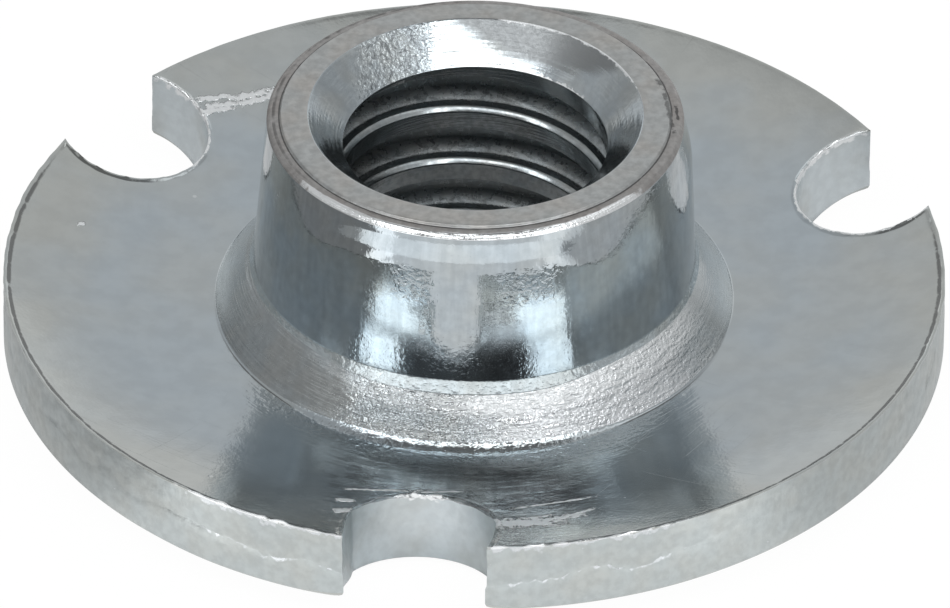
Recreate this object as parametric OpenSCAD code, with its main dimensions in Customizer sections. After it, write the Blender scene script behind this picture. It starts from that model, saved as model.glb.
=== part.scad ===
// Tee nut: a round, slightly dished flange with three open round notches, a
// coined conical collar and a tapered barrel with a countersunk, tapped bore,
// all drawn from one piece of sheet steel. Millimetres, +Z up the barrel.
// The origin is on the bore's axis, in the plane that the underside rests on.

/* [Flange] */
// Diameter of the flange
flange_d = 18.9; // [17.5:0.1:24]
// Thickness of the sheet
sheet_t = 1.45; // [1.1:0.05:1.7]
// Rise of the flange from its flat middle to its edge
dish_rise = 0.68; // [0.3:0.02:1.0]
// Bevel that breaks the flange's top and bottom edges
edge_break = 0.1; // [0.04:0.01:0.25]

/* [Notches] */
// Number of notches around the flange
notch_count = 3; // [2:1:6]
// Diameter of the round punch that cuts a notch
notch_d = 3.1; // [2.8:0.05:3.6]
// Depth of a notch from the flange's edge to its root
notch_depth = 2.3; // [1.8:0.05:2.6]

/* [Barrel] */
// Height from the underside to the rim of the barrel
height = 5.95; // [5.5:0.05:12]
// Diameter of the barrel at its rim
rim_d = 8.35; // [8:0.05:8.7]
// Diameter of the barrel at its foot
foot_d = 8.9; // [8.75:0.05:9.2]
// Rounding of the rim's outer edge
rim_round = 0.28; // [0.1:0.02:0.4]

/* [Collar] */
// Diameter of the conical collar where it meets the flange
collar_d = 10.6; // [10.4:0.1:11.4]
// Height of the collar above the flange's flat middle
collar_h = 1.05; // [0.6:0.05:1.3]
// Radius of the hollow between the collar and the barrel
foot_fillet = 0.35; // [0.1:0.05:0.5]

/* [Bore] */
// Diameter of the bore at the thread's crests
bore_d = 5.3; // [4.95:0.05:5.6]
// Diameter of the countersink at the rim
sink_d = 6.7; // [6.2:0.05:6.9]
// Full angle of the countersink
sink_angle = 90; // [70:5:110]
// Rounding of the bore's lower end, where the sheet was drawn up
entry_round = 0.9; // [0.4:0.05:1.2]

/* [Hidden] */
$fn = 96;
margin = 1;          // how far a cut runs past what it cuts

flange_r = flange_d / 2;
rim_r = rim_d / 2;
foot_r = foot_d / 2;
collar_r = collar_d / 2;
bore_r = bore_d / 2;
sink_r = sink_d / 2;

// The dish is an arc that leaves the flat middle level at the collar's edge
// and reaches dish_rise at the flange's edge.
dish_w = flange_r - collar_r;
dish_r = (dish_w * dish_w + dish_rise * dish_rise) / (2 * dish_rise);
dish_centre = [collar_r, sheet_t + dish_r];

collar_top = sheet_t + collar_h;

// Height of the dished sheet's face at radius r; depth is 0 for its upper
// face and sheet_t for its underside.
function dish_z(r, depth) =
    dish_centre[1] - sqrt(pow(dish_r + depth, 2) - pow(r - collar_r, 2));

// The barrel's wall, from its foot on the collar to its rim: its lean from
// upright, and its radius at a height.
lean = atan((foot_r - rim_r) / (height - collar_top));
function wall_r(z) = foot_r - (z - collar_top) * tan(lean);

// The rim's rounding touches the rim face and the leaning wall.
rim_round_c = [
    wall_r(height - rim_round) - rim_round / cos(lean), height - rim_round
];
round_on_wall = rim_round_c + rim_round * [cos(lean), sin(lean)];

// The collar's face slopes down at collar_slope from level, and the hollow
// at the barrel's foot touches the wall and the collar's face.
collar_slope = atan(collar_h / (collar_r - foot_r));
hollow_turn = 90 - lean - collar_slope;
hollow_reach = foot_fillet * tan(hollow_turn / 2);
foot = [foot_r, collar_top];
hollow_on_wall = foot + hollow_reach * [-sin(lean), cos(lean)];
hollow_on_face = foot + hollow_reach * [cos(collar_slope), -sin(collar_slope)];
hollow_c = hollow_on_wall + foot_fillet * [cos(lean), sin(lean)];

sink_depth = (sink_r - bore_r) / tan(sink_angle / 2);
notch_c = flange_r - notch_depth + notch_d / 2;

// A level middle that carries the collar, and the dished ring around it.
module flange_section() {
    square([collar_r, sheet_t]);
    difference() {
        intersection() {
            translate(dish_centre) circle(dish_r + sheet_t, $fn = 720);
            translate([collar_r, 0]) square([dish_w, height]);
        }
        translate(dish_centre) circle(dish_r, $fn = 720);
        edge_bevel(0, -1);
        edge_bevel(sheet_t, 1);
    }
}

// Corner cut off the flange's edge, at the sheet's upper face (depth 0, side
// -1) or at its underside (depth sheet_t, side 1).
module edge_bevel(depth, side) {
    inner_r = flange_r - edge_break;
    outer_z = dish_z(flange_r, depth) + side * edge_break;
    polygon([
        [inner_r, dish_z(inner_r, depth) - side * margin],
        [inner_r, dish_z(inner_r, depth)],
        [flange_r, outer_z],
        [flange_r + margin, outer_z],
        [flange_r + margin, dish_z(inner_r, depth) - side * margin]
    ]);
}

// The collar's cone and the leaning wall of the barrel, with the hollow
// between them and the rounded rim.
module barrel_section() {
    difference() {
        polygon([
            [0, 0], [collar_r, 0], [collar_r, sheet_t],
            hollow_on_face, hollow_c, hollow_on_wall,
            round_on_wall, rim_round_c, [rim_round_c[0], height], [0, height]
        ]);
        translate(hollow_c) circle(foot_fillet);
    }
    translate(rim_round_c) circle(rim_round);
}

// What the bore, its countersink and its drawn-in lower end take away.
module bore_section() {
    translate([0, -margin]) square([bore_r, height + 2 * margin]);
    polygon([
        [0, height - sink_depth], [bore_r, height - sink_depth],
        [sink_r, height], [sink_r, height + margin], [0, height + margin]
    ]);
    difference() {
        translate([0, -margin]) square([bore_r + entry_round, entry_round + margin]);
        translate([bore_r + entry_round, entry_round]) circle(entry_round);
    }
}

module tee_nut() {
    color([0.70, 0.73, 0.75])
    difference() {
        rotate_extrude()
        difference() {
            union() {
                flange_section();
                barrel_section();
            }
            bore_section();
        }
        for (i = [0 : notch_count - 1])
            rotate(270 + i * 360 / notch_count)
            translate([notch_c, 0, -margin])
            cylinder(r = notch_d / 2, h = height + 2 * margin);
    }
}

tee_nut();
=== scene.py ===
"""Tee nut in bright zinc plate: the dressed model, its studio and its camera.

Sizes are in millimetres and angles in radians until a shape becomes a mesh.
Z runs up the barrel, and the origin lies on the bore's axis, in the plane
that the underside rests on.
"""
import math

import bpy
import numpy as np
from mathutils import Matrix, Vector


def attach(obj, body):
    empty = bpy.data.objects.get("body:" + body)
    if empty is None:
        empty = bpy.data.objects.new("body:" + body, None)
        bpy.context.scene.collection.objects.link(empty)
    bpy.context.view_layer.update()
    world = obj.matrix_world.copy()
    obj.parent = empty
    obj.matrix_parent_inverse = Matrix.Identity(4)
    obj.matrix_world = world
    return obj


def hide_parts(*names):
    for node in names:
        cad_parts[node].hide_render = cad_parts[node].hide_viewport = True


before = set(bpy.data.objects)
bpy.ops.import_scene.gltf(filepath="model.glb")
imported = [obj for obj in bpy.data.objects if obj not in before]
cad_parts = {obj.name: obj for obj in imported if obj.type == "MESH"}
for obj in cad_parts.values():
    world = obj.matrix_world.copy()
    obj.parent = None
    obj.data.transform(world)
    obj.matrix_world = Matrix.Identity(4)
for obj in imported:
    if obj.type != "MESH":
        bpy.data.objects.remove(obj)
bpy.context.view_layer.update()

MM = 0.001

# ---- sizes
FLANGE_R = 9.45
SHEET_T = 1.45
DISH_RISE = 0.68
NOTCH_COUNT = 3
NOTCH_R = 1.55
NOTCH_DEPTH = 2.3
HEIGHT = 5.95
RIM_R = 4.175
COLLAR_R = 5.3
COLLAR_RING = 5.5
COLLAR_H = 1.05
BORE_R = 2.65
SINK_R = 3.35
ENTRY_ROUND = 0.9
PITCH = 1.27
THREAD_R = 3.175

DISH_W = FLANGE_R - COLLAR_R
DISH_R = (DISH_W ** 2 + DISH_RISE ** 2) / (2 * DISH_RISE)
COLLAR_TOP = SHEET_T + COLLAR_H
NOTCH_C = FLANGE_R - NOTCH_DEPTH + NOTCH_R
SINK_Z = HEIGHT - (SINK_R - BORE_R)

# corners of the collar's section in front, where it has a shoulder and a
# step, and at the sides, where the cone runs up to the wall
COLLAR_FRONT = ((COLLAR_RING, SHEET_T), (5.29, SHEET_T), (4.725, 2.135), (4.555, 2.305), (4.4453, 2.555))
COLLAR_SIDE = ((COLLAR_RING, SHEET_T), (5.21, SHEET_T), (4.62, 2.285), (4.51, 2.42), (4.4453, 2.555))
# radii that round the collar's foot, in front and at the sides, its shoulder,
# its step, and the start of the wall
FOOT_ROUND_FRONT = 0.36
FOOT_ROUND_SIDE = 0.08
SHOULDER_ROUND = 0.25
STEP_ROUND = 0.09
WALL_ROUND = 0.12
# how far the barrel swells over a notch, and the height where it swells most
BULGE = 0.155
BULGE_TOP = 5.3

# radius and height along the rim, inwards, and down the countersink
RIM_SECTION = ((4.168, 5.785), (4.162, 5.798), (4.084, 5.876), (4.06, 5.884), (4.02, 5.887),
               (3.95, 5.892), (3.918, 5.888), (3.902, 5.897), (3.888, 5.925), (3.876, 5.943),
               (3.855, 5.95))
SINK_SECTION = ((3.36, 5.95), (3.345, 5.944), (3.33, 5.93), (3.15, 5.75), (BORE_R, SINK_Z))

# the thread: the land on its crests, the height of a flank, and how far the
# surface lies outside the bore at distances above a crest's upper corner
LAND = 0.40
FLANK = (THREAD_R - BORE_R) * math.tan(math.radians(30))
THREAD_ABOVE = (0, 0.006, 0.05, 0.092, 0.098, 0.106, 0.122, 0.142, 0.306, PITCH - LAND - FLANK,
                PITCH - LAND - 0.015, PITCH - LAND + 0.01, PITCH - 0.04, PITCH)
THREAD_CUT = (0, 0.004, 0.046, 0.090, 0.11, 0.225, 0.252, 0.2758, THREAD_R - BORE_R,
              THREAD_R - BORE_R, 0.035, 0.006, 0, 0)
# where the thread starts, where it begins to run out, and its first and last
# turn: enough to pass both ends of the bore on every side
THREAD_LOW = 0.07
RUNOUT_LOW = 5.03
THREAD_TURNS = (-6, 2)

# the camera: its direction in degrees, its roll in radians, its distance, the
# point it is set by, and the pixels from the picture's middle to that point
VIEW_AZIMUTH = 6.95
VIEW_ELEVATION = 35.47
VIEW_ROLL = 0.0075
VIEW_DISTANCE = 329.0
PX_PER_MM = 49.80
PICTURE_W = 950
SENSOR_W = 36
AIM = (0, 0, 2.13)
AIM_X = -0.7
AIM_Y = 34.5
# a crest's upper corner: its height at the back of the bore, in the camera's line
CREST_Z = 4.14
CREST_ANGLE = math.radians(90 + VIEW_AZIMUTH)

# the flange's edge: how far its underside is rolled up, and how much more and
# how near at a notch's corners; the ledge between the wall's torn and smooth
# parts, as its width, its place down the wall and how much lower it is at a
# corner; how much a notch narrows downwards; and the burr's height, what is
# added where it is beaded or on a notch, and its long and short swells
ROLL_DROP = 0.05
ROLL_CORNER = 0.12
ROLL_FADE = 0.5
LEDGE_W = 0.04
LEDGE_AT = 0.50
LEDGE_CORNER = 0.20
TORN_DEPTH = 0.006
NOTCH_LOW = 0.10
BURR_H = 0.018
BURR_RAISED = 0.014
BURR_LONG = 0.010
BURR_SHORT = 0.010

# ---- columns
NOTCH_COLS = 40
PLAIN_COLS = 88
COLS = NOTCH_COUNT * (NOTCH_COLS + PLAIN_COLS)
COL_STEP = 2 * math.pi / COLS
NOTCH_HALF = NOTCH_COLS / 2 * COL_STEP
FIRST_NOTCH = math.radians(270)
# a plain ring lies between the collar and this radius, and sheets drawn from
# the notches' arcs lie outside it, up to the band along the edge
RING_R = 6.15
RING_ROWS = 4
FIELD_ROWS = 20
HORN_COLS = 12
BAND_W = 0.24
# columns of the outline on a notch's wall, and from one notch to the next
ARC_COLS = 2 * FIELD_ROWS + NOTCH_COLS
SPAN_COLS = 2 * HORN_COLS + ARC_COLS + PLAIN_COLS
# how much wider than the punch's size each notch is, and its centre's radius,
# for the front, the right and the left notch: the punches stand off centre
PUNCHED = ((0.05, NOTCH_C - 0.07), (0.0, NOTCH_C + 0.06), (0.0, NOTCH_C + 0.04))
# how far each notch's widest part is pinched in towards its mouth's width
PINCHED = (0.75, 0.0, 0.0)


def dish_z(r, depth):
    """Height of the dished sheet at radius r: level out to the collar, then
    a circular arc. depth is 0 for the upper face, SHEET_T for the underside."""
    out = np.maximum(r - COLLAR_R, 0.0)
    return SHEET_T + DISH_R - np.sqrt((DISH_R + depth) ** 2 - out ** 2)


def turn(r, angle, z):
    """Points at radius r, angle and height z, as an array of x, y, z."""
    r, angle, z = np.broadcast_arrays(r, angle, z)
    return np.stack([r * np.cos(angle), r * np.sin(angle), z], axis=-1)


# ---- outline
def mouth_angle(inset, i):
    """Angle from the middle line of notch i to its corner, where the notch's
    circle, grown by inset, meets the flange's edge, drawn in by inset: by the
    law of cosines."""
    grown, centre = PUNCHED[i]
    rim = FLANGE_R - inset
    hole = NOTCH_R + grown + inset
    return math.acos((rim ** 2 + centre ** 2 - hole ** 2) / (2 * rim * centre))


def notch_arc(inset, i):
    """Round wall of notch i, corner to corner through its root, as radius and
    angle from its middle line: a circle in even steps of its own angle."""
    grown, centre = PUNCHED[i]
    hole = NOTCH_R + grown + inset
    rim = FLANGE_R - inset
    corner = mouth_angle(inset, i)
    swing = math.atan2(rim * math.sin(corner), centre - rim * math.cos(corner))
    own = np.linspace(-swing, swing, ARC_COLS + 1)
    x = centre - hole * np.cos(own)
    y = hole * np.sin(own)
    over = np.maximum(np.abs(y) - hole * math.sin(swing), 0.0)
    y = y - np.sign(y) * over * PINCHED[i]
    return np.hypot(x, y), np.arctan2(y, x)


def middle_line(i):
    return FIRST_NOTCH + i * 2 * math.pi / NOTCH_COUNT


def columns():
    """Angles of the columns once round the axis, from the front notch's side."""
    return FIRST_NOTCH - NOTCH_HALF + np.arange(COLS + 1) * COL_STEP


def azimuth_of(angle):
    """Degrees from the front, positive to the right, between -180 and 180."""
    return np.degrees(np.mod(angle - FIRST_NOTCH + math.pi, 2 * math.pi) - math.pi)


def outline(inset):
    """Radius and angle once round the flange's edge drawn in by inset: for
    each notch one horn, the round wall, the other horn and the plain arc."""
    rim = FLANGE_R - inset
    plain = np.arange(PLAIN_COLS) * COL_STEP + NOTCH_HALF
    radii, angles = [], []
    for i in range(NOTCH_COUNT):
        arc_r, arc_a = notch_arc(inset, i)
        horn = np.linspace(NOTCH_HALF, mouth_angle(inset, i), HORN_COLS + 1)
        radii += [np.full(HORN_COLS, rim), arc_r, np.full(HORN_COLS - 1 + PLAIN_COLS, rim)]
        angles += [middle_line(i) - horn[:-1], middle_line(i) + arc_a,
                   middle_line(i) + horn[::-1][1:-1], middle_line(i) + plain]
    r = np.concatenate(radii)
    a = np.concatenate(angles)
    return np.append(r, r[0]), np.append(a, a[0] + 2 * math.pi)


# ---- section
def arc_points(centre, radius, start, end, steps):
    """Section points on a circle about centre, from one angle to another."""
    a = np.linspace(start, end, steps + 1)
    return np.stack([centre[0] + radius * np.cos(a), centre[1] + radius * np.sin(a)], axis=1)


def straight(a, b, steps):
    """Section points in even steps from a to b."""
    t = np.linspace(0, 1, steps + 1)[:, None]
    return np.asarray(a) * (1 - t) + np.asarray(b) * t


def chain(*parts):
    """One run of section points from parts that meet end to end."""
    return np.concatenate([parts[0]] + [p[1:] for p in parts[1:]])


def rounding(before, corner, after, radius, steps):
    """Arc of a given radius in place of the corner between two straight runs
    of a section, touching both."""
    into = math.atan2(corner[1] - before[1], corner[0] - before[0])
    away = math.atan2(after[1] - corner[1], after[0] - corner[0])
    swing = (away - into + math.pi) % (2 * math.pi) - math.pi
    side = math.copysign(1, swing)
    reach = radius * math.tan(abs(swing) / 2)
    centre = (corner[0] - reach * math.cos(into) - side * radius * math.sin(into),
              corner[1] - reach * math.sin(into) + side * radius * math.cos(into))
    first = into - side * math.pi / 2
    return arc_points(centre, radius, first, first + swing, steps)


def collar_section(corners, foot_round):
    """From the flange up to the barrel's wall: a hollow foot, the rough cone,
    a flatter shoulder and a steep step that ends in the wall."""
    ground, foot, shoulder, step, wall = corners
    foot_arc = rounding(ground, foot, shoulder, foot_round, 6)
    shoulder_arc = rounding(foot, shoulder, step, SHOULDER_ROUND, 2)
    step_arc = rounding(shoulder, step, wall, STEP_ROUND, 4)
    wall_arc = rounding(step, wall, (RIM_R, HEIGHT), WALL_ROUND, 4)
    cone = straight(foot_arc[-1], shoulder_arc[0], 8)
    rise = chain(shoulder_arc, straight(shoulder_arc[-1], step_arc[0], 2), step_arc[:2])
    hollow = chain(step_arc[1:], straight(step_arc[-1], wall_arc[0], 3), wall_arc)
    return foot_arc, cone, rise, hollow


def thread_depth(s):
    """How far the thread is cut at distance s above a crest's upper corner,
    within one pitch: past a small torn lip, up the flank, along the root,
    down the next flank and along the crest's land."""
    return np.interp(s, THREAD_ABOVE, THREAD_CUT)


def bore_radius(s, z):
    """Radius of the bore's surface: the wider of the thread and the rounded
    lower end at height z. The thread runs out under the countersink."""
    cut = BORE_R + thread_depth(s) * (1 - smooth_step(RUNOUT_LOW, SINK_Z, z))
    low = np.maximum(ENTRY_ROUND - z, 0)
    entry = BORE_R + ENTRY_ROUND - np.sqrt(ENTRY_ROUND ** 2 - low ** 2)
    return np.maximum(cut, entry)


# ---- outline marks
def ripple(seed, length, *coords, waves=9):
    """Smooth random field of about unit size, its swells about length long: a
    sum of sine waves in seeded directions."""
    rng = np.random.default_rng(seed)
    field = 0.0
    for _ in range(waves):
        way = rng.normal(size=len(coords))
        way *= rng.uniform(0.6, 1.5) * 2 * math.pi / length / np.linalg.norm(way)
        field = field + np.sin(sum(w * c for w, c in zip(way, coords)) + rng.uniform(0, 2 * math.pi))
    return field * math.sqrt(2 / waves)


def smooth_step(low, high, x):
    t = np.clip((x - low) / (high - low), 0, 1)
    return t * t * (3 - 2 * t)


def outline_marks():
    """For each point of the outline, its distance along the outline, its
    distance from the nearest corner of a notch, 1 on a notch's wall, and its
    azimuth."""
    r, a = outline(0)
    x, y = r * np.cos(a), r * np.sin(a)
    along = np.concatenate([[0], np.cumsum(np.hypot(np.diff(x), np.diff(y)))])
    first = HORN_COLS + SPAN_COLS * np.arange(NOTCH_COUNT)
    corners = along[np.concatenate([first, first + ARC_COLS])]
    gap = np.abs(along[:, None] - corners)
    gap = np.minimum(gap, along[-1] - gap).min(axis=1)
    column = np.arange(len(r)) % SPAN_COLS
    on_notch = ((column >= HORN_COLS) & (column <= HORN_COLS + ARC_COLS)).astype(float)
    on_notch = 0.5 + (on_notch - 0.5) * smooth_step(0, 0.12, gap)
    return along, gap, on_notch, azimuth_of(a)


# ---- blocks
WELD = 1e-5
blocks = []


def block(points, zone, flip=False, edge=0.0):
    """Keeps a grid of points, columns by rows. Its faces look outwards when
    columns run counter-clockwise and rows run inwards. edge is 1 where wear
    rubs an edge bright and where a highlight is painted on it, and -1 where
    shade is painted into a corner or along a line."""
    blocks.append((points, zone, flip, np.broadcast_to(edge, points.shape[:2])))


def flange_face(depth, zone, flip):
    """One face of the flange, inside its edge band: a ring next to the collar,
    plain sectors between the notches, and round each notch a C-shaped sheet of
    straight lines, in radius and angle, from its arc to its sector's sides."""
    ring = np.linspace(RING_R, COLLAR_RING, RING_ROWS + 1)
    block(turn(ring, columns()[:, None], dish_z(ring, depth)), zone, flip)
    levels = np.linspace(FLANGE_R - BAND_W, RING_R, FIELD_ROWS + 1)
    side_r = np.concatenate([levels, np.full(NOTCH_COLS - 1, RING_R), levels[::-1]])
    side_a = np.pad(np.linspace(-NOTCH_HALF, NOTCH_HALF, NOTCH_COLS + 1), FIELD_ROWS, mode="edge")
    t = np.linspace(0, 1, HORN_COLS + 1)
    for i in range(NOTCH_COUNT):
        plain = middle_line(i) + NOTCH_HALF + np.arange(PLAIN_COLS + 1) * COL_STEP
        block(turn(levels, plain[:, None], dish_z(levels, depth)), zone, flip)
        arc_r, arc_a = notch_arc(BAND_W, i)
        r = arc_r[:, None] * (1 - t) + side_r[:, None] * t
        a = arc_a[:, None] * (1 - t) + side_a[:, None] * t
        block(turn(r, middle_line(i) + a, dish_z(r, depth)), zone, flip)


def flange_edge():
    """Edge band, burr, side wall and rolled lower edge, carried round the
    outline. A ragged ledge parts the wall's torn upper part from its smooth
    lower part, and a notch narrows downwards."""
    edge = turn(*outline(0), 0.0)
    inwards = (turn(*outline(BAND_W), 0.0) - edge) / BAND_W
    along, gap, on_notch, turned = outline_marks()
    off_notch = 1 - on_notch
    beaded = smooth_step(-36, -25, turned) * (1 - smooth_step(27, 42, turned))
    calm = 1 - 0.85 * smooth_step(100, 125, np.abs(turned)) * off_notch
    # the way along the edge is laid on a circle, so that the swells close up
    loop = 2 * math.pi * along / along[-1]
    ring = along[-1] / (2 * math.pi)
    cx, cy = ring * np.cos(loop), ring * np.sin(loop)
    rough = ripple(3, 0.55, cx, cy)
    fine = ripple(4, 0.3, cx, cy)
    broad = ripple(5, 5.0, cx, cy)

    burr = (BURR_H + BURR_RAISED * np.maximum(beaded, on_notch) + BURR_LONG * np.clip(broad, -1, 1)
            + BURR_SHORT * (1 + beaded) * np.maximum(rough + 0.6 * fine, -0.8)) * calm
    roll = ROLL_DROP + ROLL_CORNER * np.exp(-gap / ROLL_FADE)
    roll_w = np.minimum(0.10 + 0.6 * roll, BAND_W - 0.02)
    split = LEDGE_AT + LEDGE_CORNER * np.exp(-gap / 1.4) + 0.05 * ripple(8, 1.6, cx, cy) + 0.015 * fine
    split = np.clip(split, 0.35, 0.8)

    def outwards(part):
        """How far the wall stands out at part of the way down it."""
        torn = TORN_DEPTH * calm * ripple(7, 0.5, cx, cy, np.full_like(cx, 4 * part))
        ledge = LEDGE_W * (0.3 + 0.7 * beaded) * smooth_step(-0.02, 0.05, part - split)
        taper = NOTCH_LOW * part * smooth_step(0.2, 1.6, gap)
        return off_notch * (torn * (part < split) + ledge) + on_notch * taper

    def row(inset, part, lift, depth):
        """One grid row: inset from the wall, standing out as the wall does at
        part, lifted by lift from the sheet's face at depth."""
        out = outwards(np.full_like(gap, part)) * (1 - inset / BAND_W)
        flat = edge + inwards * (inset - out)[:, None]
        flat[:, 2] = dish_z(np.hypot(flat[:, 0], flat[:, 1]), depth) + lift
        return flat

    # rows of the band and the burr: how far in, and the burr's share there
    level = np.zeros_like(gap)
    upper = [row(level + inset, 0.0, burr * rise, 0) for inset, rise in
             ((BAND_W, 0), (0.18, 0), (0.13, 0), (0.095, 0.15), (0.064, 0.75), (0.035, 1.0),
              (0.012, 0.8), (0.0, 0.35), (0.0, -0.6))]
    lower = [row(level + BAND_W, 1.0, level, SHEET_T)]
    for step in np.radians([0, 22, 44, 66, 90]):
        lower.append(row(roll_w * (1 - math.sin(step)), 1.0, roll * (1 - math.cos(step)), SHEET_T))

    # how much the burr is rubbed bright and painted brighter as a highlight
    # where the front light catches it: most where it is beaded, at the front
    # notch's root, on the right notch and on the left one's far half
    bright = np.where(np.abs(turned) < 60, 1 - smooth_step(2.5, 6.0, np.abs(turned + 1.5)), 1.0)
    bright = np.where(turned < -60, 1 - smooth_step(-121, -116, turned), bright)
    rubbed_and_lit = np.maximum(beaded * off_notch + on_notch * bright, 0.12)[:, None]
    # painted shade: a dark line just inside the burr, away from the notches and the back
    burr_shade = (off_notch * (1 - smooth_step(95, 115, np.abs(turned))))[:, None]
    # the band's edge values: the burr's wear and painted highlight, less the painted shade inside it
    band_wear_and_painted_light = (rubbed_and_lit * np.array([0, 0, 0, 0, 0.5, 0.9, 1, 1, 0.9])
               - burr_shade * np.array([0, 0, 0.6, 1, 0.4, 0, 0, 0, 0]))
    block(np.stack(upper, axis=1), "band", True, edge=band_wear_and_painted_light)
    block(np.stack(lower, axis=1), "under", False)

    top, foot = upper[-1], lower[-1]
    wall = [top]
    below = 1 - split
    for part in (split * 0.2, split * 0.4, split * 0.6, split * 0.8, split - 0.03, split, split + 0.04,
                 split + below * 0.35, split + below * 0.7):
        flat = edge - inwards * outwards(part)[:, None]
        flat[:, 2] = top[:, 2] * (1 - part) + foot[:, 2] * part
        wall.append(flat)
    wall = np.stack(wall + [foot], axis=1)
    torn = np.array([0, 0.2, 0, 0, 0, 0.2, 0.7, 0.3, 0, 0, 0.2])
    # the wall's top carries the burr's wear and painted highlight, and flecks are rubbed bright along the
    # torn part and the ledge
    wear_and_light = rubbed_and_lit * np.array([0.9] + [0] * 10) + np.maximum(rubbed_and_lit, 0.3) * off_notch[:, None] * torn
    for start in SPAN_COLS * np.arange(NOTCH_COUNT):
        corners = start + np.array([0, HORN_COLS, HORN_COLS + ARC_COLS, SPAN_COLS])
        for a, b, zone in zip(corners, corners[1:], ("wall", "notch_wall", "wall")):
            block(wall[a:b + 1], zone, True, edge=wear_and_light[a:b + 1])


def facing(angle, azimuth, near, far):
    """1 within near degrees of an azimuth, counted from the front and to the
    right, falling to 0 at far degrees from it."""
    return 1 - smooth_step(near, far, np.abs(azimuth_of(angle) - azimuth))


def bulge(angle, z):
    """How far the barrel stands out over the front notch and, less widely,
    over the right one: a swell that grows up the wall and is gone at the rim."""
    swell = facing(angle, 0, 31, 58) + facing(angle, 120, 5, 50)
    t = np.clip((z - COLLAR_TOP) / (BULGE_TOP - COLLAR_TOP), 0, 1)
    fading = BULGE_TOP - 0.1 - 0.5 * (1 - facing(angle, 0, 26, 45))
    return BULGE * swell * t * (1 - smooth_step(fading, RIM_SECTION[0][1], z))


def body_of_revolution():
    """Collar, barrel, rim and countersink above, the flat middle and the
    rounded lower end below, as sections carried round the axis."""
    around = columns()[:, None]
    front = facing(around, 2, 20, 46)[:, :, None]
    stepped = collar_section(COLLAR_FRONT, FOOT_ROUND_FRONT)
    plain = collar_section(COLLAR_SIDE, FOOT_ROUND_SIDE)
    foot, cone, shoulder, hollow = [a * front + b * (1 - front) for a, b in zip(stepped, plain)]
    rim = np.array(RIM_SECTION)
    sink = np.array(SINK_SECTION)
    # the dish's innermost strip, out to where the flange's face begins
    out = np.linspace(1, 0, 3)[:2, None]
    ground = np.array([COLLAR_RING, dish_z(COLLAR_RING, 0)]) * out + foot[:, :1] * (1 - out)
    steps = np.concatenate([[0, 0.006], np.linspace(0.03, 0.97, 25), [0.994, 1]])[:, None]
    section = {
        "foot": np.concatenate([ground, foot], axis=1),
        "collar": np.concatenate([cone, shoulder[:, 1:]], axis=1),
        "hollow": hollow,
        "barrel": hollow[:, -1:] * (1 - steps) + rim[0] * steps,
        "rim_band": rim[:7],
        "rim_face": chain(rim[6:], straight(rim[-1], sink[0], 5)),
        "sink": chain(sink[:3], straight(sink[2], sink[3], 3), straight(sink[3], sink[4], 6)),
    }
    for zone, rows in section.items():
        r, z = rows[..., 0], rows[..., 1]
        wear_and_light = 0.0
        if zone == "rim_band":
            # the rim band: a painted highlight along its outer edge in front, painted shadow along its inner
            # edge at the step to the faced rim, and painted shade along a groove line on the left
            wear_and_light = facing(around, 5, 42, 62) * np.interp(r, [4.05, 4.08, 4.17], [0, 1, 1])
            wear_and_light = wear_and_light - np.interp(r, [3.905, 3.92, 3.94], [1, 1, 0])
            wear_and_light -= facing(around, -110, 55, 75) * np.interp(r, [4.0, 4.02, 4.06, 4.08], [0, 0.4, 0.4, 0])
        if zone == "sink":
            # the countersink: a painted highlight along its outer edge at the back right, and one low at the
            # back
            wear_and_light = facing(around, 148, 26, 42) * np.interp(r, [3.32, 3.34], [0, 1])
            wear_and_light = wear_and_light + facing(around, 180, 40, 60) * np.interp(r, [BORE_R, 2.74], [0.9, 0])
        if zone == "foot":
            # painted shadow at the collar's foot, away from the front
            wear_and_light = (facing(around, 2, 30, 50) - 1) * np.array([0, 0, 0.3, 1, 1, 0, 0, 0, 0])
        out = bulge(around, z) * (zone in ("hollow", "barrel"))
        block(turn(r + out, around, z), zone, edge=wear_and_light)
    base = ENTRY_ROUND + BORE_R
    flat = straight([COLLAR_RING, dish_z(COLLAR_RING, SHEET_T)], [base, 0], 5)
    bend = arc_points((base, ENTRY_ROUND), ENTRY_ROUND, -math.pi / 2,
                      -math.pi + math.asin((ENTRY_ROUND - THREAD_LOW) / ENTRY_ROUND), 5)
    for rows in (flat, bend):
        block(turn(rows[:, 0], around, rows[:, 1]), "under", True)


def thread():
    """The bore's surface on rows that climb with the helix, one pitch a turn,
    and stop at the circles that bound the countersink and the lower end."""
    between = [0.235, 0.43, (PITCH - LAND + FLANK) / 2, PITCH - LAND - 0.17, PITCH - 0.2]
    rows = np.sort(np.concatenate([THREAD_ABOVE[:-1], between]))
    around = columns()
    lift = PITCH * (around - CREST_ANGLE) / (2 * math.pi)
    turns = np.arange(THREAD_TURNS[0], THREAD_TURNS[1] + 1)
    s = np.tile(rows, len(turns))
    base = CREST_Z + np.repeat(turns * PITCH, len(rows)) + s
    climbing = base + lift[:, None]
    z = np.clip(climbing, THREAD_LOW, SINK_Z)
    r = bore_radius(np.mod(s + z - climbing, PITCH), z)
    block(turn(r, around[:, None], z)[:, ::-1], "thread")


def build_tee_nut():
    flange_face(0, "face", False)
    flange_face(SHEET_T, "under", True)
    flange_edge()
    body_of_revolution()
    thread()


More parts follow.
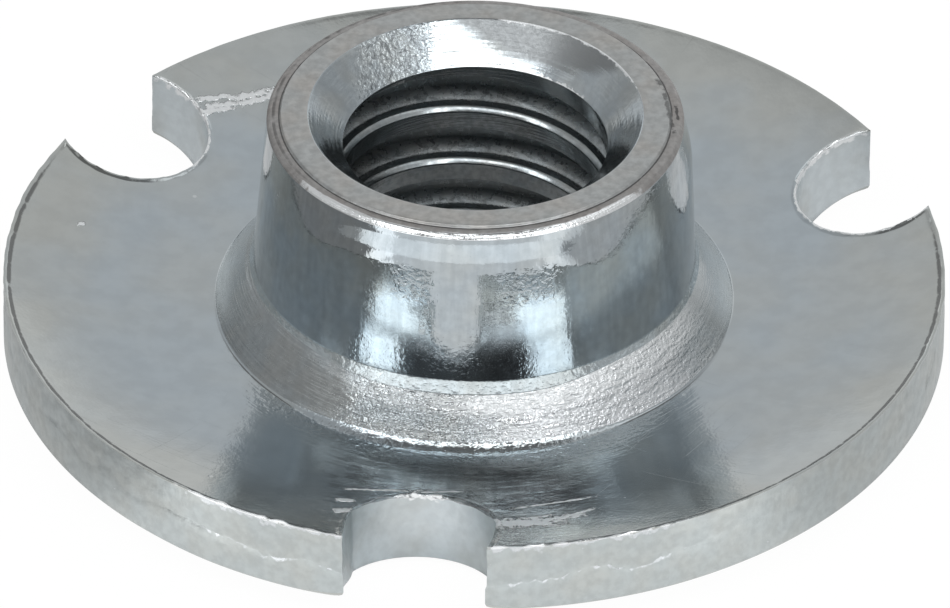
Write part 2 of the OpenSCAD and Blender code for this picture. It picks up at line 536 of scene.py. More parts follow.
def weld():
    """Joins the blocks: points that coincide become one. Gives the points,
    the faces' corners, each face's zone, the zones' names, and the edge value
    at each point."""
    points, faces, zones, edges = [], [], [], []
    names = sorted({zone for _, zone, _, _ in blocks})
    count = 0
    for grid, zone, flip, edge in blocks:
        n, m = grid.shape[:2]
        index = np.arange(n * m).reshape(n, m) + count
        quad = np.stack([index[:-1, :-1], index[1:, :-1], index[1:, 1:], index[:-1, 1:]], axis=-1)
        quad = quad.reshape(-1, 4)[:, ::-1 if flip else 1]
        points.append(grid.reshape(-1, 3))
        faces.append(quad)
        zones.append(np.full(len(quad), names.index(zone)))
        edges.append(edge.reshape(-1))
        count += n * m
    points, faces, zones, edges = [np.concatenate(part) for part in (points, faces, zones, edges)]
    key = np.round(points / WELD).astype(np.int64)
    _, first, same = np.unique(key, axis=0, return_index=True, return_inverse=True)
    same = same.reshape(-1)
    edge = np.zeros(len(first))
    np.maximum.at(edge, same, edges)
    np.minimum.at(edge, same[edges < 0], edges[edges < 0])
    return points[first], same[faces], zones, names, edge


def split_by_sides(faces, zones):
    """Whole quads, then triangles, from faces whose repeated corners are
    dropped, with the zone of each."""
    keep = faces != np.roll(faces, -1, axis=1)
    sides = keep.sum(axis=1)
    three = sides == 3
    quads = faces[sides == 4]
    triangles = faces[three][keep[three]].reshape(-1, 3)
    return quads.tolist() + triangles.tolist(), np.concatenate([zones[sides == 4], zones[three]])


def add_camera():
    """Long lens at the stated azimuth, elevation and roll; AIM is the middle
    of the flange's upper edge, and it falls AIM_X right of and AIM_Y above the
    picture's middle."""
    a, e, roll = math.radians(VIEW_AZIMUTH), math.radians(VIEW_ELEVATION), VIEW_ROLL
    back = Vector((math.sin(a) * math.cos(e), -math.cos(a) * math.cos(e), math.sin(e)))
    level = Vector((math.cos(a), math.sin(a), 0))
    upright = back.cross(level)
    right = level * math.cos(roll) + upright * math.sin(roll)
    up = upright * math.cos(roll) - level * math.sin(roll)
    data = bpy.data.cameras.new("camera")
    data.sensor_width = SENSOR_W
    data.lens = SENSOR_W * PX_PER_MM * VIEW_DISTANCE / PICTURE_W
    data.clip_start = 0.01
    data.clip_end = 5
    camera = bpy.data.objects.new("camera", data)
    spot = Vector(AIM) + back * VIEW_DISTANCE - right * (AIM_X / PX_PER_MM) - up * (AIM_Y / PX_PER_MM)
    placed = Matrix((right, up, back)).transposed().to_4x4()
    placed.translation = [along * MM for along in spot]
    camera.matrix_world = placed
    bpy.context.collection.objects.link(camera)
    bpy.context.scene.camera = camera


# ---- node tools
NUMBER = "NodeSocketFloat"
COLOUR = "NodeSocketColor"
VECTOR = "NodeSocketVector"


class Field:
    """A value that varies over a surface: a node's output, with Python's
    operators for the node maths."""

    def __init__(self, socket):
        self.socket = socket
        self.tree = socket.id_data

    def __add__(self, other):
        return maths("ADD", self, other)

    def __sub__(self, other):
        return maths("SUBTRACT", self, other)

    def __rsub__(self, other):
        return maths("SUBTRACT", other, self)

    def __mul__(self, other):
        return maths("MULTIPLY", self, other)

    def __truediv__(self, other):
        return maths("DIVIDE", self, other)

    def __rtruediv__(self, other):
        return maths("DIVIDE", other, self)

    def __abs__(self):
        return maths("ABSOLUTE", self)

    def ramp(self, low, high, out_low=0.0, out_high=1.0):
        """The value from low to high, eased and held, as out_low to out_high."""
        return add(self.tree, "ShaderNodeMapRange", {"interpolation_type": "SMOOTHSTEP"}, Value=self,
                   From_Min=low, From_Max=high, To_Min=out_low, To_Max=out_high)["Result"]


def feed(value, socket):
    """Links a field to a socket, or sets the socket to a plain value."""
    if isinstance(value, Field):
        value.tree.links.new(value.socket, socket)
    else:
        socket.default_value = value


def add(tree, kind, settings=None, **inputs):
    """One shader node with its settings and its named inputs. Gives its
    outputs by name."""
    node = tree.nodes.new(kind)
    for key, value in (settings or {}).items():
        setattr(node, key, value)
    for key, value in inputs.items():
        feed(value, node.inputs[key.replace("_", " ")])
    return {socket.name: Field(socket) for socket in reversed(node.outputs.values())}


def tree_of(values):
    return next(value.tree for value in values if isinstance(value, Field))


def place(group, **inputs):
    """Puts a node group where its inputs come from, and gives its output."""
    [output] = add(tree_of(inputs.values()), "ShaderNodeGroup", {"node_tree": group}, **inputs).values()
    return output


def maths(operation, *values):
    node = tree_of(values).nodes.new("ShaderNodeMath")
    node.operation = operation
    for socket, value in zip(node.inputs, values):
        feed(value, socket)
    return Field(node.outputs[0])


def total(out, *terms):
    """A value plus the sum of (value, factor) pairs."""
    for value, factor in terms:
        out = maths("MULTIPLY_ADD", value, factor, out)
    return out


def most(a, b):
    return maths("MAXIMUM", a, b)


def blend(share, a, b):
    """Colour a turned into colour b by share."""
    node = share.tree.nodes.new("ShaderNodeMix")
    node.data_type = "RGBA"
    for socket, value in ((0, share), (6, a), (7, b)):
        feed(value, node.inputs[socket])
    return Field(node.outputs[2])


def blend_shader(share, a, b):
    node = share.tree.nodes.new("ShaderNodeMixShader")
    for socket, value in zip(node.inputs, (share, a, b)):
        feed(value, socket)
    return Field(node.outputs[0])


def noise(spot, scale, detail):
    return add(spot.tree, "ShaderNodeTexNoise", Vector=spot, Scale=scale, Detail=detail)["Fac"]


def parts(spot):
    """The three coordinates of a position."""
    xyz = add(spot.tree, "ShaderNodeSeparateXYZ", Vector=spot)
    return xyz["X"], xyz["Y"], xyz["Z"]


def joined(x, y, z=0.0):
    """The position with three coordinates."""
    return add(x.tree, "ShaderNodeCombineXYZ", X=x, Y=y, Z=z)["Vector"]


def turned_about(spot, degrees, centre=(0.0, 0.0, 0.0)):
    """A position turned about the upright line through a centre."""
    return add(spot.tree, "ShaderNodeVectorRotate", {"rotation_type": "Z_AXIS"}, Vector=spot,
               Center=centre, Angle=maths("RADIANS", degrees))["Vector"]


def compass(way):
    """Azimuth, from the front and to the right, and elevation of a direction,
    in degrees."""
    x, y, z = parts(way)
    return maths("DEGREES", maths("ARCTAN2", x, y * -1.0)), maths("DEGREES", maths("ARCSINE", z))


def node_group(name, output, kind=NUMBER, **inputs):
    """Makes a shader node group of the function that follows, from the fields
    of its inputs to its output. An input without a value is a position."""
    def build(recipe):
        tree = bpy.data.node_groups.new(name, "ShaderNodeTree")
        kinds = {type(None): VECTOR, float: NUMBER, tuple: COLOUR}
        for key, value in inputs.items():
            label = key.replace("_", " ")
            socket = tree.interface.new_socket(label, in_out="INPUT", socket_type=kinds[type(value)])
            if value is not None:
                socket.default_value = value
        tree.interface.new_socket(output, in_out="OUTPUT", socket_type=kind)
        given = tree.nodes.new("NodeGroupInput").outputs
        result = recipe(*[Field(given[i]) for i in range(len(inputs))])
        feed(result, tree.nodes.new("NodeGroupOutput").inputs[0])
        return tree
    return build


# ---- effects
NO_LAY = 1.0e6
COLD = (0.468, 0.522, 0.558, 1.0)
WARM = (0.505, 0.522, 0.505, 1.0)
WORN = (0.68, 0.71, 0.73, 1.0)
# bright tone of rubbed edges, flecks and painted highlights
BRIGHT = (0.88, 0.90, 0.91, 1.0)
# dark tone of the painted shade in corners and along lines
SHADE_TONE = (0.10, 0.10, 0.10, 1.0)
# dark tone of the flange's front patch: partly oxide, partly painted shade
OXIDE_SHADE_TONE = (0.13, 0.135, 0.14, 1.0)
BLACK = (0.0, 0.0, 0.0, 1.0)
WHITE = (1.0, 1.0, 1.0, 1.0)


@node_group("grain", "Value", Position=None, Size=0.1, Detail=2.0, Low=0.3, High=0.7)
def grain_group(spot, size, detail, low, high):
    """Even grain: noise of Size millimetres, stretched in contrast so that
    Low becomes 0 and High becomes 1."""
    return noise(spot, 1 / MM / size, detail).ramp(low, high)


@node_group("marks_round_axis", "Value", Position=None, Radius=5.0, Around=1.0, Outward=NO_LAY,
            Upward=NO_LAY, Detail=2.0, Low=0.3, High=0.7)
def lay_group(spot, radius, around, outward, upward, detail, low, high):
    """Marks that follow the nut's axis: noise at the point's place on a circle
    of Radius, with its radius and height, where a mark is Around, Outward and
    Upward millimetres long."""
    x, y, z = parts(spot)
    reach = maths("SQRT", x * x + y * y)
    turns = radius / around / reach
    drawn = joined(x * turns, y * turns, z / upward / MM - reach / outward / MM)
    return noise(drawn, 1.0, detail).ramp(low, high)


@node_group("specks", "Mask", Position=None, Spacing=0.5, Size=0.15, Share=0.3)
def speck_group(spot, spacing, size, share):
    """Small round specks: 1 within Size of a random point, for a Share of the
    points, which lie about Spacing millimetres apart."""
    cells = add(spot.tree, "ShaderNodeTexVoronoi", Vector=spot, Scale=1 / MM / spacing)
    pick = add(spot.tree, "ShaderNodeSeparateColor", Color=cells["Color"])
    dot = (cells["Distance"] / (size * (pick["Green"] + 0.4))).ramp(1.0, 0.5)
    return maths("LESS_THAN", pick["Red"], share) * dot


@node_group("scratches", "Mask", Position=None, Turn=0.0, Length=3.0, Width=0.03, Level=0.68)
def scratch_group(spot, turn_by, length, width, level):
    """Straight scratches in one direction: noise drawn out to Length by Width
    millimetres, turned about the upright axis, where its peaks pass Level."""
    x, y, z = parts(turned_about(spot, turn_by))
    drawn = joined(x / length / MM, y / width / MM, z / length / MM)
    return noise(drawn, 1.0, 1.0).ramp(level, level + 0.06)


@node_group("stroke", "Mask", Position=None, X=0.0, Y=0.0, Turn=0.0, Length=1.0, Width=0.1, Ragged=0.0)
def stroke_group(spot, x, y, turn_by, length, width, ragged):
    """One mark struck in the metal: 1 inside a ragged bar, Length by Width
    millimetres, that lies at X, Y and is turned about the upright axis from
    the line towards +x."""
    along, beside, _ = parts(turned_about(spot, turn_by * -1.0, joined(x * MM, y * MM)))
    far = most(abs(along / MM - x) / (length / 2.0), abs(beside / MM - y) / (width / 2.0))
    return (far + ragged).ramp(1.25, 0.55)


@node_group("tarnish", "Color", COLOUR, Position=None, Size=2.0, Warmth=0.0, Cold=COLD, Warm=WARM, Depth=0.1)
def tarnish_group(spot, size, warmth, cold, warm, depth):
    """Colour of the plating: cold and warm tones in clouds of Size, warmer
    where Warmth is high, and darker by Depth in finer clouds."""
    scale = 1 / MM / size
    share = noise(spot, scale, 2.0).ramp(0.35, 0.7, 0.0, 0.5) + warmth
    dark = noise(spot, scale * 5.0, 3.0).ramp(0.3, 0.7) * depth
    return blend(dark, blend(share, cold, warm), BLACK)


@node_group("edge_wear_and_highlight", "Mask", Position=None, Edge=0.0, Size=0.2, Reach=0.5)
def edge_wear_group(spot, edge, size, reach):
    """Worn edge and painted highlight on an edge: the mesh's Edge value broken
    up by noise of Size, so that only its high places are made bright."""
    level = total(edge, (noise(spot, 1 / MM / size, 3.0) - 0.5, 2.2))
    gap = 1.0 - reach
    return level.ramp(gap, gap + 0.4) * edge.ramp(0.1, 0.5)


# ---- finishes
# marks struck in the metal: x, y, turn, length and width
FLANGE_STROKES = (
    (1.98, -7.9, 12.3, 1.3, 0.36), (2.55, -7.67, 20.0, 0.95, 0.1), (2.15, -7.64, 18.0, 0.6, 0.07),
    (2.45, -6.98, 22.0, 1.2, 0.05), (2.98, -7.4, 36.0, 0.6, 0.06), (-1.62, -7.5, 15.0, 0.28, 0.14),
    (-1.6, -7.98, 15.0, 0.3, 0.16), (-1.0, -6.92, 8.0, 1.2, 0.06), (0.15, -6.8, 12.0, 0.8, 0.045),
    (-6.03, 5.38, 33.0, 0.8, 0.14), (-6.1, 5.74, 25.0, 0.75, 0.12), (-5.9, 5.58, 30.0, 0.65, 0.16),
    (-5.35, 6.05, 31.0, 1.0, 0.16), (-5.2, 5.95, 33.0, 0.7, 0.14), (-8.12, 1.03, 20.0, 0.14, 0.09))
RIM_CRACKS = ((3.8, 0.66, -75.0, 1.2, 0.08), (3.53, 1.57, -60.0, 0.2, 0.12), (3.98, 0.6, -78.0, 0.5, 0.05))


class Finish:
    """One metal finish: its material with the point's place in millimetres
    and the worn-edge value, and the Principled BSDF that takes colour,
    roughness and bump."""

    def __init__(self, name):
        self.material = bpy.data.materials.new(name)
        self.material.use_nodes = True
        tree = self.material.node_tree
        self.takes = tree.nodes["Principled BSDF"].inputs
        self.takes["Metallic"].default_value = 1.0
        self.spot = add(tree, "ShaderNodeTexCoord")["Object"]
        self.edge = add(tree, "ShaderNodeAttribute", {"attribute_name": "edge"})["Fac"]
        self.x, self.y, self.z = [part / MM for part in parts(self.spot)]
        self.radius = maths("SQRT", self.x * self.x + self.y * self.y)
        self.bumps = {}

    def put(self, group, **inputs):
        return place(group, Position=self.spot, **inputs)

    def grain(self, size, detail=2.0, low=0.3, high=0.7):
        """Even grain of a size in millimetres."""
        return self.put(grain_group, Size=size, Detail=detail, Low=low, High=high)

    def lay(self, radius, around, outward=NO_LAY, upward=NO_LAY, detail=2.0, low=0.3, high=0.7):
        """Marks round the axis at a radius, so many millimetres long each way."""
        return self.put(lay_group, Radius=radius, Around=around, Outward=outward, Upward=upward,
                        Detail=detail, Low=low, High=high)

    def across(self, degrees):
        """Millimetres along a level line that is turned by an angle from +x."""
        angle = math.radians(degrees)
        return total(0.0, (self.x, math.cos(angle)), (self.y, math.sin(angle)))

    def strokes(self, marks):
        """1 in any of the marks struck in the metal."""
        ragged = (self.grain(0.13, low=0.2, high=0.8) - 0.62) * 1.2
        mask = 0.0
        for x, y, angle, length, width in marks:
            one = self.put(stroke_group, X=x, Y=y, Turn=angle, Length=length, Width=width, Ragged=ragged)
            mask = most(mask, one)
        return mask

    def wear_and_light(self, size, reach=0.5):
        """1 where an edge is rubbed bright and where a highlight is painted on an
        edge, broken up by noise of a size.
        """
        return self.put(edge_wear_group, Edge=self.edge, Size=size, Reach=reach)

    def painted_shade(self, size):
        """Painted shade: 1 in the corners and along the lines where the mesh's
        edge value is negative, broken up by grains of a size."""
        patchy = self.grain(size, low=0.2, high=0.6) + 0.5
        return (patchy * (self.edge * -1.0)).ramp(0.25, 0.8)

    def bump(self, height, depth):
        """Lays a bump of depth millimetres over those before it."""
        bumped = add(height.tree, "ShaderNodeBump", Strength=1.0, Distance=depth * MM, Height=height,
                     **self.bumps)
        self.bumps = {"Normal": bumped["Normal"]}

    def done(self, colour, roughness, *terms):
        """The material, with its colour, and its roughness as a value plus the
        sum of (value, factor) pairs."""
        feed(colour, self.takes["Base Color"])
        feed(total(roughness, *terms), self.takes["Roughness"])
        feed(self.bumps["Normal"], self.takes["Normal"])
        return self.material


def flange_finish():
    """Rolled sheet under bright plating: cloudy tone, warmer at the edge,
    faint scratches, a dark patch in front that is partly oxide and partly
    painted shade, struck marks in front, and small ripples round the collar
    and near the front edge. Painted shade lines the burr's inside and the
    collar's foot in front, and the burr is rubbed bright and painted brighter
    as a highlight where the front light catches it."""
    f = Finish("flange_zinc")
    on_top = f.z.ramp(0.9, 1.2)
    across = f.across(VIEW_AZIMUTH)
    tone = f.put(tarnish_group, Size=2.2, Warmth=f.radius.ramp(7.0, 9.4, 0.0, 0.75), Depth=0.07)
    # the front patch: partly oxide, partly painted shade for the dark that the metal mirrors there; these
    # blotches break it up
    dark_blotches = f.lay(7.0, 0.6, 0.09, detail=3.0, low=0.25, high=0.6)
    ends = total(-0.6, (across, 1.0), (dark_blotches, 1.0))
    oxide_and_shade = ends.ramp(-2.7, -2.2) * ends.ramp(2.9, 1.9) * f.y.ramp(-5.35, -6.0) * on_top
    oxide_and_shade = oxide_and_shade * f.radius.ramp(8.8, 7.2, 0.15, 1.0) * across.ramp(-1.2, 1.0, 0.55, 1.2)
    tone = blend(oxide_and_shade * total(0.38, (dark_blotches, 0.50)), tone, OXIDE_SHADE_TONE)
    marks = most(f.put(scratch_group, Turn=24.0, Length=5.0, Width=0.03, Level=0.73),
                 f.put(scratch_group, Turn=-63.0, Length=3.0, Width=0.025, Level=0.75))
    specks = f.put(speck_group, Spacing=0.9, Size=0.05, Share=0.3)
    struck = f.strokes(FLANGE_STROKES) * on_top
    # the burr's wear and painted highlight, with the struck marks
    worn_and_lit = most(f.wear_and_light(0.16), struck)
    tone = blend(most(specks * 0.3, worn_and_lit), tone, BRIGHT)
    # painted shade inside the burr and at the collar's foot in front
    dark_lines_and_shade = f.painted_shade(0.2) * most(f.radius.ramp(6.0, 7.0), f.y.ramp(-1.0, -3.2))
    tone = blend(dark_lines_and_shade * 0.75, tone, SHADE_TONE)
    clouds = f.grain(0.8, 3.0)
    fine = f.grain(0.08)
    peel = f.grain(0.12, 3.0)
    streaks = f.lay(8.0, 0.5, 0.05)
    rings = f.lay(7.0, 2.0, 0.09)
    by_notch = abs(f.x).ramp(3.2, 1.8) * f.y.ramp(-7.3, -8.1)
    by_collar = f.radius.ramp(5.9, 5.4) * f.y.ramp(-3.0, -5.0)
    f.bump(f.grain(0.7, 1.0), 0.0022)
    f.bump(fine, 0.0006)
    f.bump(peel * by_collar, 0.0070)
    f.bump((peel + streaks) * by_notch, 0.0055)
    f.bump(rings * f.radius.ramp(6.6, 5.5), 0.0016)
    f.bump(most(marks, specks), -0.0010)
    f.bump(struck, 0.03)
    return f.done(tone, 0.075, (clouds, 0.03), (fine, 0.02), (marks, 0.08), (worn_and_lit, 0.26),
                  (struck, 0.12), (dark_lines_and_shade, 0.3))


def sheared_finish():
    """Punched edge of the sheet: matt, with shear marks up and down, torn
    flecks and a greener tone."""
    f = Finish("sheared_zinc")
    tone = f.put(tarnish_group, Size=0.9, Warmth=0.25, Cold=(0.53, 0.58, 0.59, 1.0),
                 Warm=(0.55, 0.57, 0.55, 1.0), Depth=0.12)
    lumps = f.grain(0.25, 3.0)
    flecks = f.put(speck_group, Spacing=0.35, Size=0.07, Share=0.35)
    worn_and_lit = f.wear_and_light(0.18)
    f.bump(f.lay(9.45, 0.12, upward=0.9), 0.0012)
    f.bump(lumps, 0.004)
    f.bump(flecks, 0.005)
    return f.done(blend(most(flecks * 0.6, worn_and_lit), tone, WORN), 0.34, (lumps, 0.08), (worn_and_lit, -0.12))


def notch_finish():
    """Wall of a notch: paler and smoother than the outer edge, with faint
    lumps and grain."""
    f = Finish("punched_zinc")
    tone = f.put(tarnish_group, Size=1.0, Cold=(0.645, 0.70, 0.725, 1.0), Depth=0.08)
    grain = f.grain(0.16)
    f.bump(f.grain(0.22, 1.0), 0.003)
    f.bump(grain, 0.0015)
    return f.done(blend(f.wear_and_light(0.15), tone, BRIGHT), 0.32, (grain, 0.06))


def collar_finish():
    """Coined collar: smooth grey with fine rings on its left, a coarse
    sparkling grain with bright flecks towards the front and the right, and
    paler behind. The right side is painted paler as light falls there, a
    highlight is painted on the shoulder in front, and both it and the flecks
    are weaker on the left half of the front, as painted shade."""
    f = Finish("coined_zinc")
    coined = f.across(-51.5).ramp(2.0, 3.0, 0.08, 1.0) * f.y.ramp(-0.4, -2.0)
    # the coined grain, weaker towards the left of the front: painted shade there
    rubbed_and_lit = coined * f.across(VIEW_AZIMUTH).ramp(-1.0, 0.5, 0.35, 1.0)
    # painted light: the right side paler where the light falls
    lit_right = total(0.0, (f.x, 0.3), (f.y, -0.95)).ramp(2.6, 4.2) * f.x.ramp(0.0, 1.8)
    behind = f.y.ramp(-0.3, -2.8, 0.5, 0.0)
    # painted highlight on the shoulder in front
    high = f.radius.ramp(4.90, 4.72) * rubbed_and_lit
    flecks = f.put(speck_group, Spacing=0.20, Size=0.14, Share=0.3) * rubbed_and_lit
    tone = f.put(tarnish_group, Size=0.8, Warmth=0.2, Cold=(0.41, 0.455, 0.48, 1.0),
                 Warm=(0.44, 0.45, 0.44, 1.0), Depth=0.12)
    tone = blend(lit_right * 0.85, tone, (0.78, 0.80, 0.82, 1.0))
    tone = blend(behind, tone, (0.74, 0.79, 0.81, 1.0))
    tone = blend(high * 0.8, tone, BRIGHT)
    tone = blend(flecks * 0.6, tone, BRIGHT)
    coarse = f.grain(0.075)
    blotch = f.lay(5.0, 0.45, 0.14, 0.14, 3.0, 0.35, 0.65)
    f.bump(blotch * coined, 0.013)
    f.bump(f.lay(5.0, 1.6, 0.07, 0.07), 0.0022)
    f.bump(coarse * coined, 0.010)
    return f.done(tone, 0.22, (blotch, -0.08), (coarse, 0.08), (flecks, -0.08), (lit_right, 0.06), (high, 0.12))


def step_finish():
    """Steep step between collar and barrel: bright and smooth, a little
    uneven."""
    f = Finish("step_zinc")
    grain = f.grain(0.12, 3.0)
    f.bump(grain, 0.005)
    tone = f.put(tarnish_group, Size=0.6, Cold=(0.62, 0.69, 0.72, 1.0), Depth=0.12)
    return f.done(tone, 0.12, (grain, 0.08))


def barrel_finish():
    """Ironed wall: near a mirror, with soft cloudy tone, faint draw marks up
    and down, a scatter of fine pits, and two rougher patches in front."""
    f = Finish("ironed_zinc")
    across = f.across(VIEW_AZIMUTH)
    draw = f.lay(4.4, 0.12, upward=1.2, detail=3.0)
    pits = f.grain(0.07, low=0.45, high=0.75)
    clouds = f.grain(0.9, low=0.40, high=0.6)
    tone = blend(draw * 0.22, f.put(tarnish_group, Size=1.0, Depth=0.12), (0.25, 0.28, 0.30, 1.0))
    left = across.ramp(-1.75, -1.45) * across.ramp(-0.7, -0.95)
    right = across.ramp(0.35, 0.6) * across.ramp(1.9, 1.3)
    peeled = (left + right) * (f.z.ramp(4.2, 4.5) * f.z.ramp(5.3, 5.1)) * f.y.ramp(-2.0, -3.0)
    f.bump(f.lay(4.4, 0.7, upward=0.5), 0.0020)
    f.bump(draw, 0.0005)
    f.bump(pits, 0.0007)
    f.bump(pits * (f.z.ramp(3.5, 2.9) * f.y.ramp(-3.6, -4.2)), 0.0009)
    f.bump(f.grain(0.14) * peeled, 0.009)
    return f.done(tone, 0.045, (clouds, 0.03), (draw, 0.02))


def rim_finish():
    """Faced rim: matt and a little brown, with fine turning lines, cracks,
    and painted shadow along its outer edge at the step.
    """
    f = Finish("faced_zinc")
    grain = f.grain(0.10, 3.0)
    patches = f.grain(0.22, 4.0, 0.35, 0.65)
    # cracks, and painted shadow along the step at the outer edge
    dark_lines_and_shade = most(f.painted_shade(0.3), f.strokes(RIM_CRACKS) * 0.75)
    tone = f.put(tarnish_group, Size=0.9, Warmth=0.5, Cold=(0.495, 0.54, 0.56, 1.0),
                 Warm=(0.53, 0.52, 0.50, 1.0), Depth=0.20)
    tone = blend(patches * 0.12, tone, (0.28, 0.27, 0.26, 1.0))
    tone = blend(dark_lines_and_shade * 0.8, tone, SHADE_TONE)
    f.bump(f.lay(3.8, 1.2, 0.045, 0.045), 0.0020)
    f.bump(grain, 0.0030)
    f.bump(dark_lines_and_shade, -0.02)
    return f.done(tone, 0.34, (grain, 0.10), (dark_lines_and_shade, 0.2))


def rim_band_finish():
    """Sloping band outside the faced rim: matt, brown and darker, with cracks,
    a painted highlight along its outer edge in front, and painted shade along
    its inner edge and along a line on the left.
    """
    f = Finish("rim_band_zinc")
    grain = f.grain(0.09, 3.0)
    # painted highlight along the outer edge in front
    worn_and_lit = f.wear_and_light(0.25, 0.95)
    # cracks, and painted shade along the inner edge and along a line on the left
    dark_lines_and_shade = most(f.painted_shade(0.3), f.strokes(RIM_CRACKS))
    tone = f.put(tarnish_group, Size=0.6, Warmth=0.2, Cold=(0.44, 0.435, 0.43, 1.0),
                 Warm=(0.37, 0.345, 0.33, 1.0), Depth=0.2)
    tone = blend(dark_lines_and_shade * 0.8, blend(worn_and_lit, tone, BRIGHT), SHADE_TONE)
    f.bump(f.lay(4.0, 0.8, 0.05, 0.05), 0.003)
    f.bump(grain, 0.003)
    return f.done(tone, 0.38, (grain, 0.10), (worn_and_lit, -0.26), (dark_lines_and_shade, 0.2))


def sink_finish():
    """Countersink: bright, with turning lines round the axis, a rough patch at
    the back right that is painted darker as shade where the highlight ends,
    painted highlights along its edge at the back right and low at the back,
    and chatter with dark holes at the back left."""
    f = Finish("sunk_zinc")
    lines = f.lay(3.0, 1.5, upward=0.05)
    grain = f.grain(0.08)
    # painted shade: a darker, rougher patch at the back right that cuts off the highlight
    dull_and_shaded = total(f.across(71.0), (lines, 0.10)).ramp(2.70, 2.95, 0.0, 0.9)
    # the edge's painted highlights
    worn_and_lit = f.wear_and_light(0.15, 0.6)
    chattered = f.x.ramp(-0.9, -1.7) * f.x.ramp(-2.8, -2.4) * f.y.ramp(0.6, 1.4)
    holes = f.grain(0.12, 3.0, 0.5, 0.62) * 0.45
    tone = blend(dull_and_shaded, f.put(tarnish_group, Size=0.8, Warmth=0.1, Depth=0.10), (0.24, 0.25, 0.255, 1.0))
    tone = blend(worn_and_lit, tone, BRIGHT)
    tone = blend(holes * chattered, tone, (0.15, 0.16, 0.17, 1.0))
    f.bump(lines, 0.0013)
    f.bump(grain, 0.0009)
    f.bump(f.grain(0.09, 3.0) * chattered, 0.014)
    return f.done(tone, 0.13, (grain, 0.08), (dull_and_shaded, 0.20), (worn_and_lit, 0.2))


def thread_finish():
    """Cut thread: painted shade darkens its grooves, with marks along the helix."""
    f = Finish("tapped_zinc")
    grain = f.grain(0.12)
    # painted shade: darker, and rougher, the deeper the groove
    depth = f.radius.ramp(BORE_R + 0.02, THREAD_R)
    tone = f.put(tarnish_group, Size=0.6, Warmth=0.1, Cold=(0.37, 0.41, 0.43, 1.0),
                 Warm=(0.40, 0.405, 0.395, 1.0), Depth=0.2)
    tone = blend(depth * 0.15, tone, (0.12, 0.125, 0.13, 1.0))
    tone = blend(f.z.ramp(SINK_Z - 0.02, SINK_Z + 0.03), tone, COLD)
    f.bump(f.lay(2.9, 1.0, 0.05, 0.05), 0.0012)
    f.bump(grain, 0.0004)
    return f.done(tone, 0.15, (grain, 0.10), (depth, 0.1))


# the finish of each zone of the mesh
FINISHES = {
    "face": flange_finish, "band": flange_finish, "under": flange_finish, "foot": flange_finish,
    "wall": sheared_finish, "notch_wall": notch_finish, "collar": collar_finish, "hollow": step_finish,
    "barrel": barrel_finish, "rim_band": rim_band_finish, "rim_face": rim_finish, "sink": sink_finish,
    "thread": thread_finish,
}
SHARP = math.radians(38)


def dress_nut():
    """The nut as one closed mesh, each zone of it in its own finish."""
    points, faces, zones, names, edges = weld()
    faces, zones = split_by_sides(faces, zones)
    mesh = bpy.data.meshes.new("tee_nut_dressed")
    mesh.from_pydata(points * MM, [], faces)
    mesh.polygons.foreach_set("use_smooth", np.ones(len(faces), dtype=bool))
    mesh.set_sharp_from_angle(angle=SHARP)
    mark = mesh.attributes.new("edge", "FLOAT", "POINT")
    mark.data.foreach_set("value", edges.astype(np.float32))
    made = {}
    for finish in dict.fromkeys(FINISHES.values()):
        made[finish] = len(made)
        mesh.materials.append(finish())
    slots = np.array([made[FINISHES[name]] for name in names], dtype=np.int32)
    mesh.polygons.foreach_set("material_index", slots[zones])
    nut = bpy.data.objects.new("tee_nut_dressed", mesh)
    bpy.context.collection.objects.link(nut)
    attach(nut, "root")
    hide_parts("tee_nut")


# ---- studio
PANEL_SHAPE = ("Middle_Azimuth", "Half_Width", "Middle_Elevation", "Half_Height", "Edge")
# each panel's shape in degrees, and its strength
PANELS = {
    "overhead": (4.5, 57.5, 55, 4.5, 1.5, 3.6),
    "overhead_upper": (4, 52, 62.5, 4, 3, 1.0),
    "left": (-45, 10, 43.5, 5, 2, 4.0),
    "right": (49.5, 11.5, 43.5, 6, 2, 3.2),
    "left_side": (-100, 40, 50, 14, 10, 0.10),
    "left_gap": (-73, 8, 34.5, 5, 4, 0.40),
    "left_low": (-110, 25, 30, 8, 6, 0.14),
    "right_side": (100, 32, 46, 16, 10, 0.18),
    "right_upper": (98, 34, 57, 8, 6, 0.55),
    "right_gap": (73, 8, 31, 7, 4, 0.28),
    "front_low": (3, 54, 3, 14, 6, 0.95),
    "front_left": (-39, 5, 4, 12, 3, 0.30),
    "right_low": (98, 26, 15, 7, 6, 0.25),
    "camera_shade": (2, 33, 40, 9, 5, -0.22),
    "zenith_shade": (0, 400, 90, 21, 8, -0.22),
    "rear": (180, 40, 30, 45, 25, 0.27),
    "rear_too": (-180, 40, 30, 45, 25, 0.27),
    "rear_low": (180, 34, 9, 9, 6, 0.10),
    "rear_low_too": (-180, 34, 9, 9, 6, 0.10),
    "rear_left": (-140, 14, 9, 9, 6, 0.30),
    "rear_right": (157, 16, 17, 8, 7, 0.16),
}
TENT_LEVEL = 0.42
LAMP_TINT = (0.985, 0.995, 1.0, 1.0)

# the floor as the metal mirrors it: where its lit front lies near the nut and
# far from it, as middle azimuth, half width and edge; the levels of its two
# sides, near and far; two brighter spots of it, each with a strength; and
# between which radii it changes, in its front, at its sides and by the nut
FRONT_NEAR = (3.5, 50, 16)
FRONT_FAR = (9.2, 50.7, 3)
LEFT_SIDE = (0.64, 0.25)
RIGHT_SIDE = (0.72, 0.60)
LAMP_SPOTS = ((-36.5, 4.5, 3, 0.9), (46, 7, 4, 0.45))
FAR_FROM = (11.5, 13.0)
SIDES_FROM = (11.0, 12.8)
UNDER_NUT = (7.6, 9.3)
FLOOR_R = 600
FLOOR_TONE = (0.9, 0.9, 0.9, 1.0)
GLOW = 1.02
GLOW_SHARE = 0.95


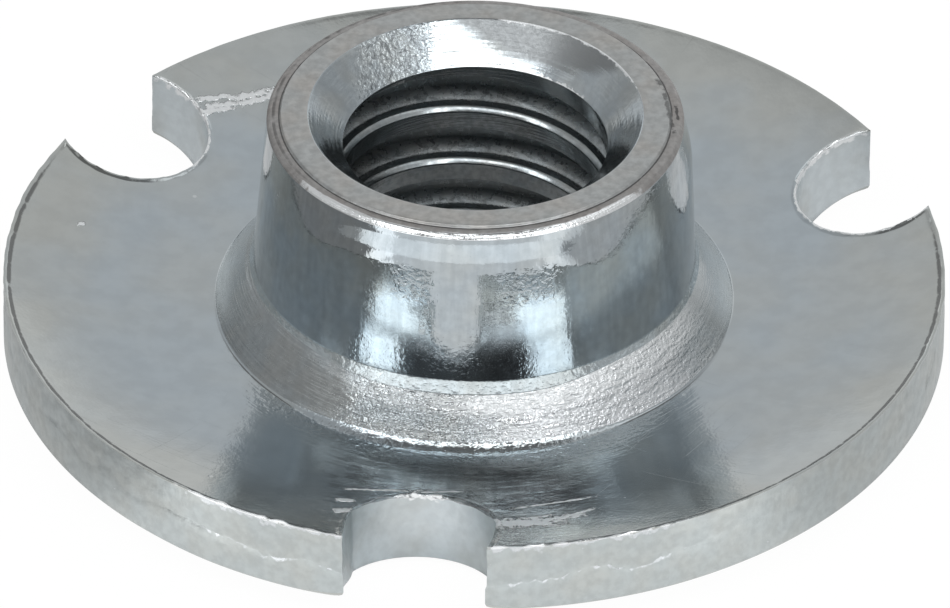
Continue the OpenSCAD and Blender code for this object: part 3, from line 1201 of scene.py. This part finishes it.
@node_group("light_panel", "Mask", Azimuth=0.0, Elevation=0.0, Middle_Azimuth=0.0, Half_Width=30.0,
            Middle_Elevation=0.0, Half_Height=90.0, Edge=4.0)
def panel_group(azimuth, elevation, middle_a, half_w, middle_e, half_h, edge):
    """Soft-edged rectangle of light on the studio's sphere: one inside the
    ranges of azimuth and elevation given by their middle and half width."""
    wide, tall = [((half - abs(here - middle)) / edge).ramp(-0.5, 0.5)
                  for here, middle, half in ((azimuth, middle_a, half_w), (elevation, middle_e, half_h))]
    return wide * tall


def add_world():
    """Light tent: an even level all round, brighter behind, with soft panels
    over the front and a shaded place round the camera."""
    world = bpy.data.worlds.new("studio")
    world.use_nodes = True
    tree = world.node_tree
    tree.nodes.clear()
    azimuth, elevation = compass(add(tree, "ShaderNodeTexCoord")["Generated"])
    level = TENT_LEVEL
    for *shape, strength in PANELS.values():
        mask = place(panel_group, Azimuth=azimuth, Elevation=elevation, **dict(zip(PANEL_SHAPE, shape)))
        level = total(level, (mask, strength))
    seen = add(tree, "ShaderNodeLightPath")["Is Camera Ray"]
    light = add(tree, "ShaderNodeBackground", Color=LAMP_TINT, Strength=level)["Background"]
    white = add(tree, "ShaderNodeBackground", Color=WHITE, Strength=1.0)["Background"]
    add(tree, "ShaderNodeOutputWorld", Surface=blend_shader(seen, light, white))
    bpy.context.scene.world = world


def add_floor():
    """Pale round floor under the nut. What sees it directly or in a
    reflection gets most of its white from itself, and the shadow stays. In
    the metal, its front is white and its sides lie in the tent's shade."""
    rim = turn(FLOOR_R, np.linspace(0, 2 * math.pi, 129)[:-1], 0.0)
    mesh = bpy.data.meshes.new("floor")
    mesh.from_pydata((rim * MM).tolist(), [], [list(range(len(rim)))])
    floor = bpy.data.objects.new("floor", mesh)
    bpy.context.collection.objects.link(floor)
    material = bpy.data.materials.new("floor")
    material.use_nodes = True
    tree = material.node_tree
    tree.nodes.clear()

    spot = add(tree, "ShaderNodeTexCoord")["Object"]
    azimuth, _ = compass(spot)
    reach = add(tree, "ShaderNodeVectorMath", {"operation": "LENGTH"}, Vector=spot)["Value"] / MM
    path = add(tree, "ShaderNodeLightPath")
    reflected = most(path["Is Glossy Ray"], path["Is Transmission Ray"])

    def sector(middle, half, edge):
        return place(panel_group, Azimuth=azimuth, Middle_Azimuth=middle, Half_Width=half, Edge=edge)

    far = reach.ramp(*FAR_FROM)
    front = sector(*FRONT_NEAR)
    front = total(front, (sector(*FRONT_FAR) - front, far))
    left, right = [reach.ramp(*SIDES_FROM, near - 1.0, away - 1.0) for near, away in (LEFT_SIDE, RIGHT_SIDE)]
    shade = total(left, (right - left, azimuth.ramp(-15.0, 15.0)))
    level = total(1.0, (reflected * (1.0 - front), shade))
    for middle, half, edge, strength in LAMP_SPOTS:
        level = total(level, (sector(middle, half, edge) * reflected * far, strength))
    seen = most(path["Is Camera Ray"], reflected * reach.ramp(*UNDER_NUT, 0.15, 1.0))
    matt = add(tree, "ShaderNodeBsdfDiffuse", Color=FLOOR_TONE)["BSDF"]
    glow = add(tree, "ShaderNodeEmission", Color=WHITE, Strength=level * GLOW)["Emission"]
    add(tree, "ShaderNodeOutputMaterial", Surface=blend_shader(seen * GLOW_SHARE, matt, glow))
    mesh.materials.append(material)


add_camera()
build_tee_nut()
dress_nut()
add_world()
add_floor()
bpy.context.scene.view_settings.view_transform = "Standard"
